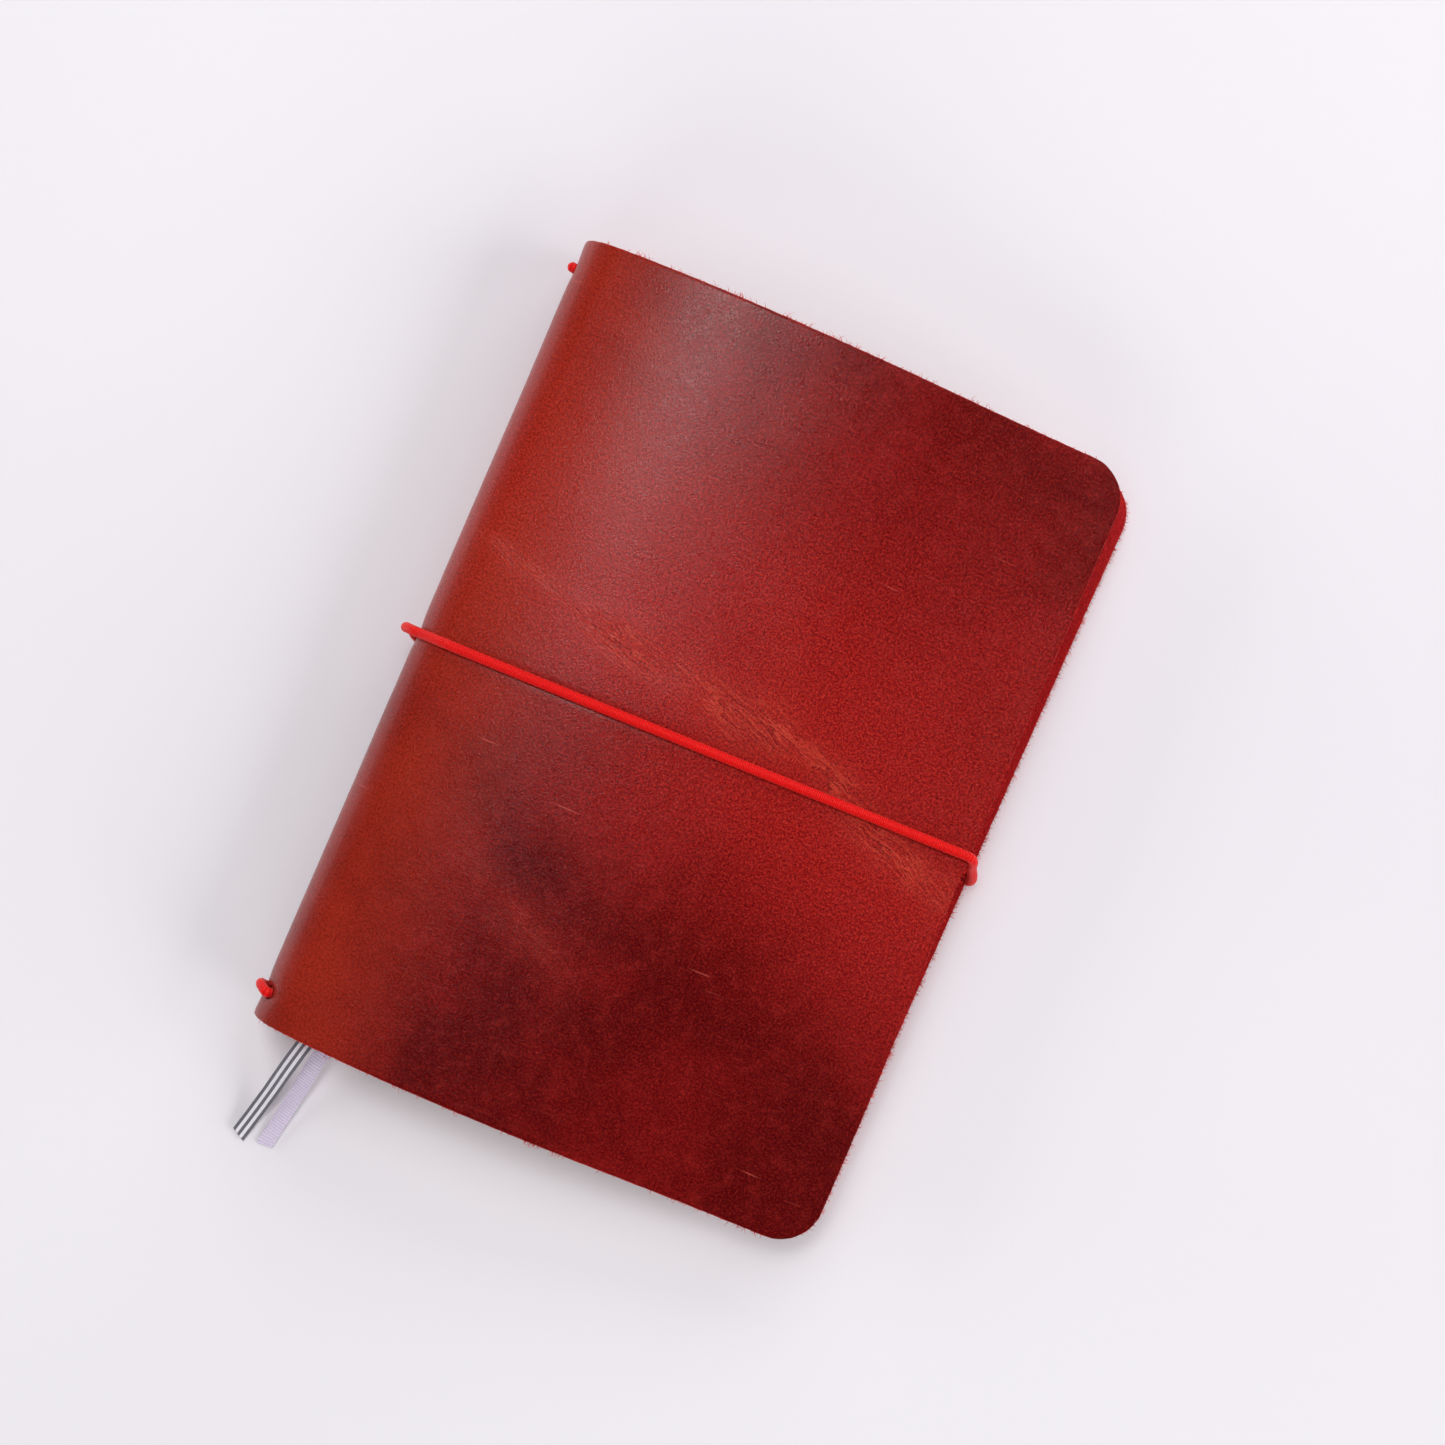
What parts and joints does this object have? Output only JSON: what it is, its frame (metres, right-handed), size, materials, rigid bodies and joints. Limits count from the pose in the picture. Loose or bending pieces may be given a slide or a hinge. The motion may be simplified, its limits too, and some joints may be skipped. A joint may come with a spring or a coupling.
{
  "type": "pocket notebook",
  "caption": "Pocket notebook with a wrap-around leather cover, stapled booklets held on elastic cord, an elastic closing loop and two ribbon markers.",
  "frame": {"origin": "on the back cover's outer face, at mid-height and midway from the spine's outermost line to the back cover's fore-edge", "axes": "+Y towards the head of the pages, +X from spine to fore-edge, +Z out through the front cover"},
  "size_m": [0.1155, 0.1766, 0.0241],
  "materials": {
    "leather": "waxed pull-up leather, satin",
    "kraft_card": "uncoated kraft card",
    "paper": "uncoated cream paper",
    "staple_steel": "bright wire",
    "elastic": "braided round elastic",
    "ribbon_striped": "woven ribbon with lengthwise stripes",
    "ribbon_plain": "grosgrain ribbon with fine cross ribs"
  },
  "bodies": {
    "back_cover": {"back_cover_leaf": "leather", "back_booklet_cover": "kraft_card", "back_booklet_pages": "paper", "back_booklet_staples": "staple_steel", "middle_booklet_cover_back": "kraft_card", "middle_booklet_pages_back": "paper", "middle_booklet_staples": "staple_steel", "elastic_strand_back": "elastic", "elastic_strand_middle": "elastic", "ribbon_grey_striped": "ribbon_striped", "ribbon_lavender": "ribbon_plain", "closure_elastic": "elastic"},
    "spine_1": {"spine_strip_1": "leather"},
    "spine_2": {"spine_strip_2": "leather", "elastic_stitch_tail": "elastic", "elastic_stitch_head": "elastic", "closure_elastic_knot": "elastic"},
    "spine_3": {"spine_strip_3": "leather"},
    "front_cover": {"front_cover_leaf": "leather"},
    "turned_pages": {"front_booklet_cover": "kraft_card", "front_booklet_pages": "paper", "front_booklet_staples": "staple_steel", "middle_booklet_cover_front": "kraft_card", "middle_booklet_pages_front": "paper", "elastic_strand_front": "elastic"},
    "leaf_1": {"loose_leaf_1": "paper"},
    "leaf_2": {"loose_leaf_2": "paper"},
    "leaf_3": {"loose_leaf_3": "paper"}
  },
  "joints": [
    {"name": "open", "type": "hinge", "parent": "back_cover", "child": "turned_pages", "pos_m": [-0.05065, 0, 0.0115], "axis": [0, -1, 0], "range_deg": [0, 172], "deforming": ["closure_elastic", "elastic_strand_front", "elastic_strand_middle", "elastic_strand_back"]},
    {"name": "spine_bend_1", "type": "hinge", "parent": "back_cover", "child": "spine_1", "pos_m": [-0.0505, 0, 0.00127], "axis": [0, -1, 0], "range_deg": [0, 46.01]},
    {"name": "spine_bend_2", "type": "hinge", "parent": "spine_1", "child": "spine_2", "pos_m": [-0.05493, 0, 0.00704], "axis": [0, -1, 0], "range_deg": [0, 42.01], "deforming": ["elastic_stitch_head"]},
    {"name": "spine_bend_3", "type": "hinge", "parent": "spine_2", "child": "spine_3", "pos_m": [-0.05443, 0, 0.01336], "axis": [0, -1, 0], "range_deg": [0, 45.01], "deforming": ["elastic_stitch_tail"]},
    {"name": "spine_bend_4", "type": "hinge", "parent": "spine_3", "child": "front_cover", "pos_m": [-0.04821, 0, 0.01868], "axis": [0, -1, 0], "range_deg": [0, 45.01]},
    {"name": "leaf_turn_1", "type": "hinge", "parent": "back_cover", "child": "leaf_1", "pos_m": [-0.05065, 0, 0.0115], "axis": [0, -1, 0], "range_deg": [0, 8.61]},
    {"name": "leaf_turn_2", "type": "hinge", "parent": "back_cover", "child": "leaf_2", "pos_m": [-0.05065, 0, 0.0115], "axis": [0, -1, 0], "range_deg": [0, 24.09]},
    {"name": "leaf_turn_3", "type": "hinge", "parent": "back_cover", "child": "leaf_3", "pos_m": [-0.05065, 0, 0.0115], "axis": [0, -1, 0], "range_deg": [0, 154.81]}
  ],
  "couplings": [
    {"joint": "spine_bend_1", "follows": "open", "ratio": 0.26744},
    {"joint": "spine_bend_2", "follows": "open", "ratio": 0.24419},
    {"joint": "spine_bend_3", "follows": "open", "ratio": 0.26163},
    {"joint": "spine_bend_4", "follows": "open", "ratio": 0.26163},
    {"joint": "leaf_turn_1", "follows": "open", "ratio": 0.05},
    {"joint": "leaf_turn_2", "follows": "open", "ratio": 0.14},
    {"joint": "leaf_turn_3", "follows": "open", "ratio": 0.9}
  ]
}
